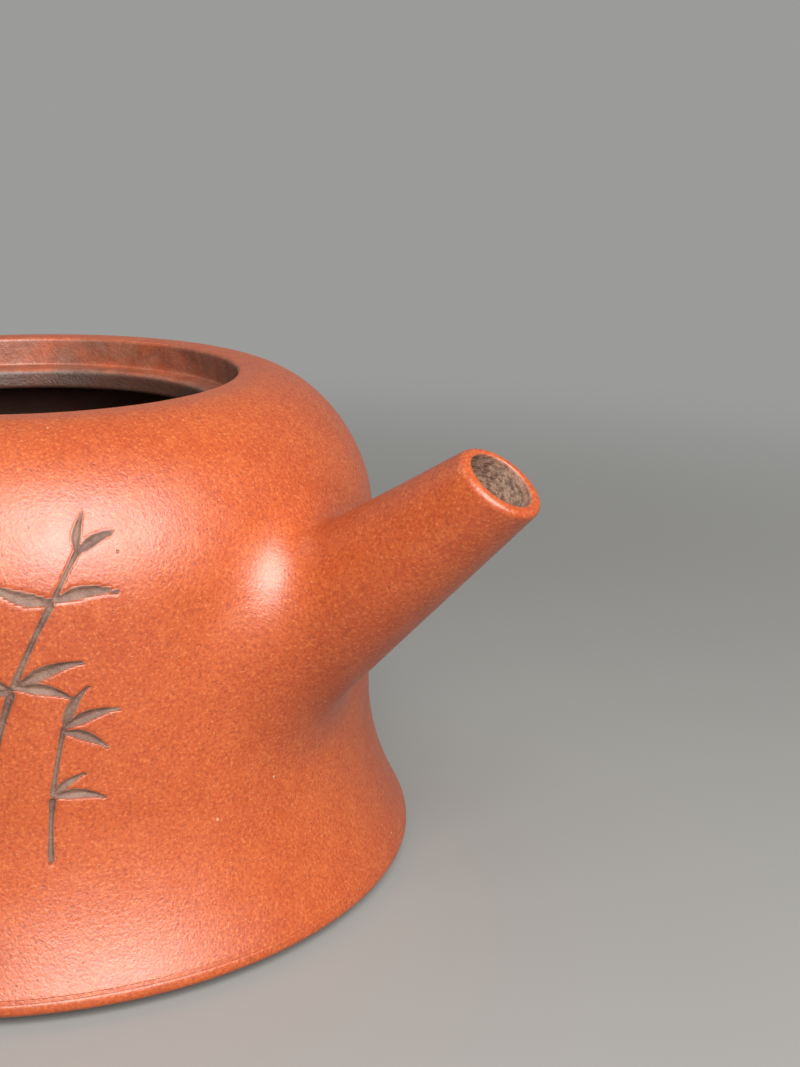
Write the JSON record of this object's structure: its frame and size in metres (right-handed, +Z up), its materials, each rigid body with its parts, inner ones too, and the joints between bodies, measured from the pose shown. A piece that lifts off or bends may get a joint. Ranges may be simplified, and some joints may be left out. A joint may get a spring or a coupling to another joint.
{
  "type": "teapot",
  "caption": "Round unglazed red clay teapot with a flared base, straight tapered spout, loop handle and flat inset lid set down beside it, for brewing and pouring tea.",
  "frame": {"origin": "on the pot's axis, on the table under the foot ring", "axes": "+Z up along the pot's axis, +X towards the spout, the handle on -X"},
  "size_m": [0.1705, 0.1866, 0.0696],
  "materials": {
    "red_clay": "unglazed satin stoneware, fine sandy grain"
  },
  "bodies": {
    "pot": {"foot_ring": "red_clay", "base_slab": "red_clay", "body_wall": "red_clay", "shoulder": "red_clay", "mouth_ring": "red_clay", "spout": "red_clay", "strainer": "red_clay", "handle": "red_clay"},
    "lid": {"lid_disc": "red_clay", "lid_flange": "red_clay", "knob_collar": "red_clay", "knob": "red_clay"}
  },
  "joints": [
    {"name": "lid_swing", "type": "hinge", "parent": "pot", "child": "lid", "pos_m": [-0.03453, -0.05981, 0.0647], "axis": [-0.866, 0.5, 0], "range_deg": [0, 218.14]}
  ]
}
